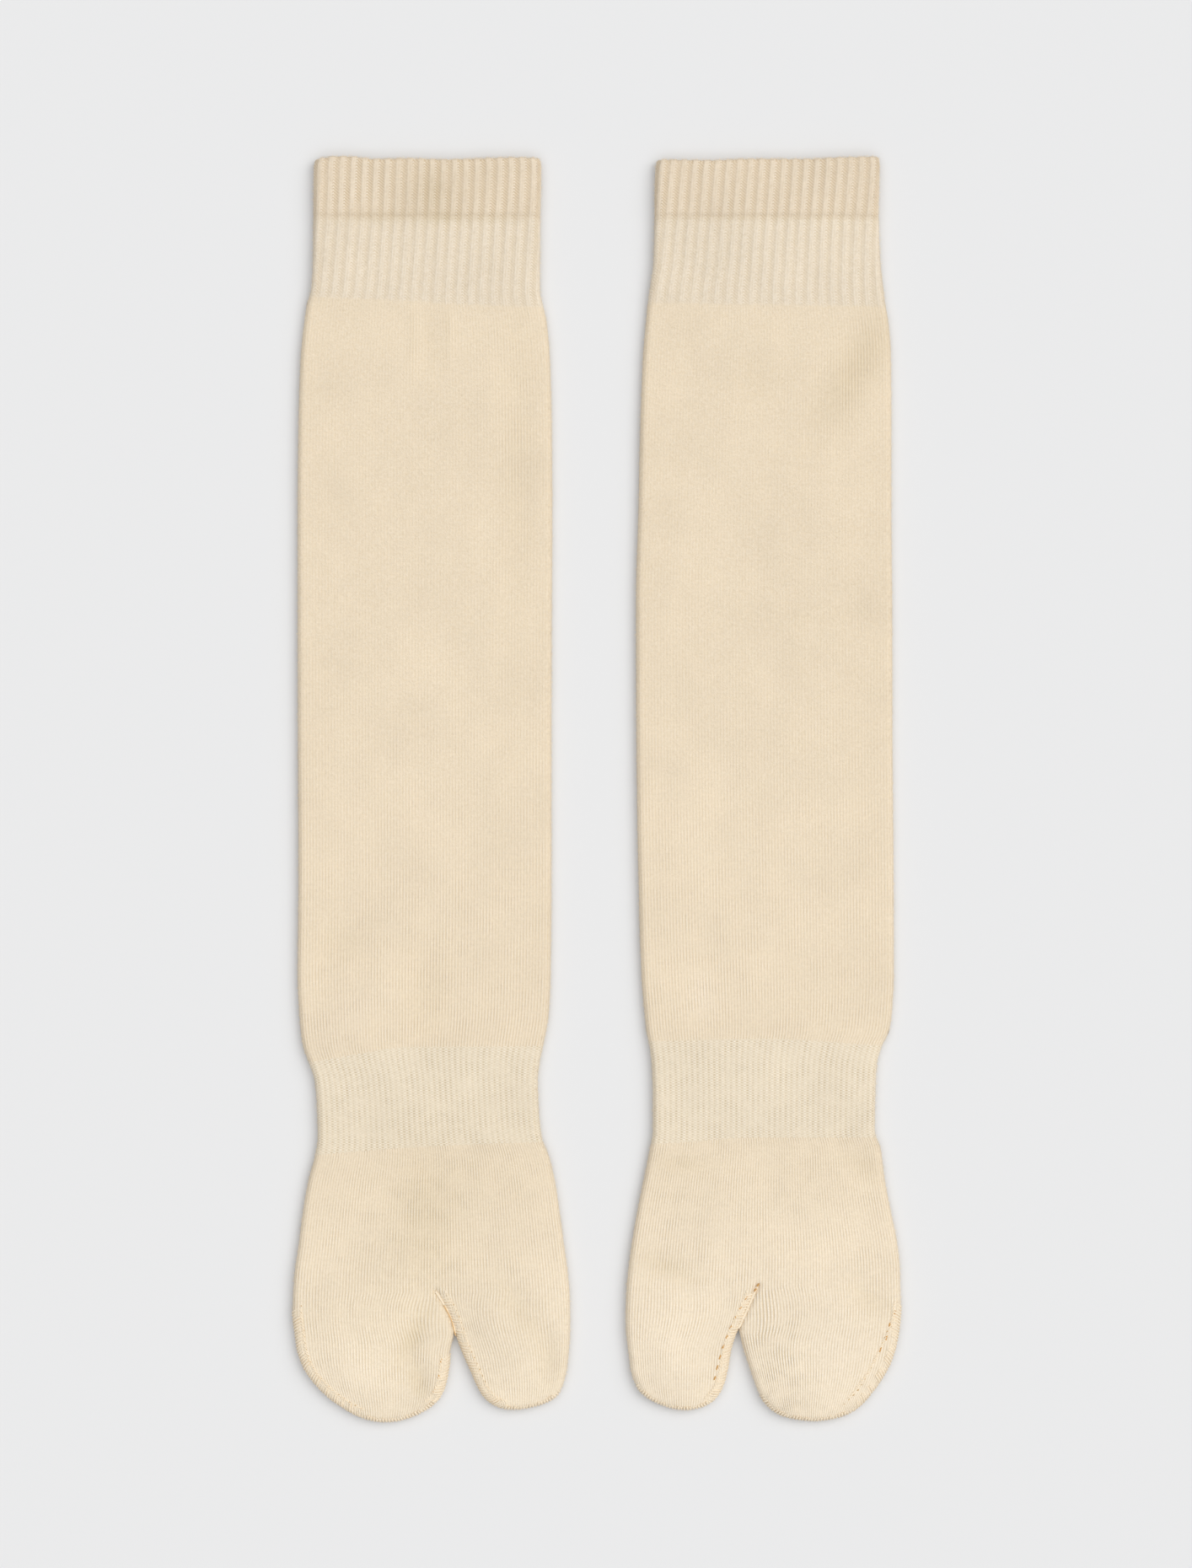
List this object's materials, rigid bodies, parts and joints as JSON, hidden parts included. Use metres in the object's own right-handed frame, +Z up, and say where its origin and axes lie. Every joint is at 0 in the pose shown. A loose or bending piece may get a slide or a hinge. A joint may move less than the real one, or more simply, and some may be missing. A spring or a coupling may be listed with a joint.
{
  "type": "pair of tabi socks",
  "caption": "Long split-toe knit socks laid flat side by side: ribbed open cuffs with a turned welt, straight legs, a narrow mesh band at the instep, and a separate big-toe pocket on each.",
  "frame": {"origin": "middle of the pair's box, on the surface that the socks lie on", "axes": "+X to the right across the pair, +Y from the toes to the mouths, +Z up from the surface"},
  "size_m": [0.2235, 0.4646, 0.0059],
  "materials": {
    "right_sock_knit": "undyed ecru cotton knit, matt and lightly brushed, orange-brown in the open stitches",
    "left_sock_knit": "undyed ecru cotton knit, matt and lightly brushed, orange-brown in the open stitches"
  },
  "bodies": {
    "root": {"right_foot_sock": "right_sock_knit", "left_foot_sock": "left_sock_knit"}
  },
  "joints": []
}
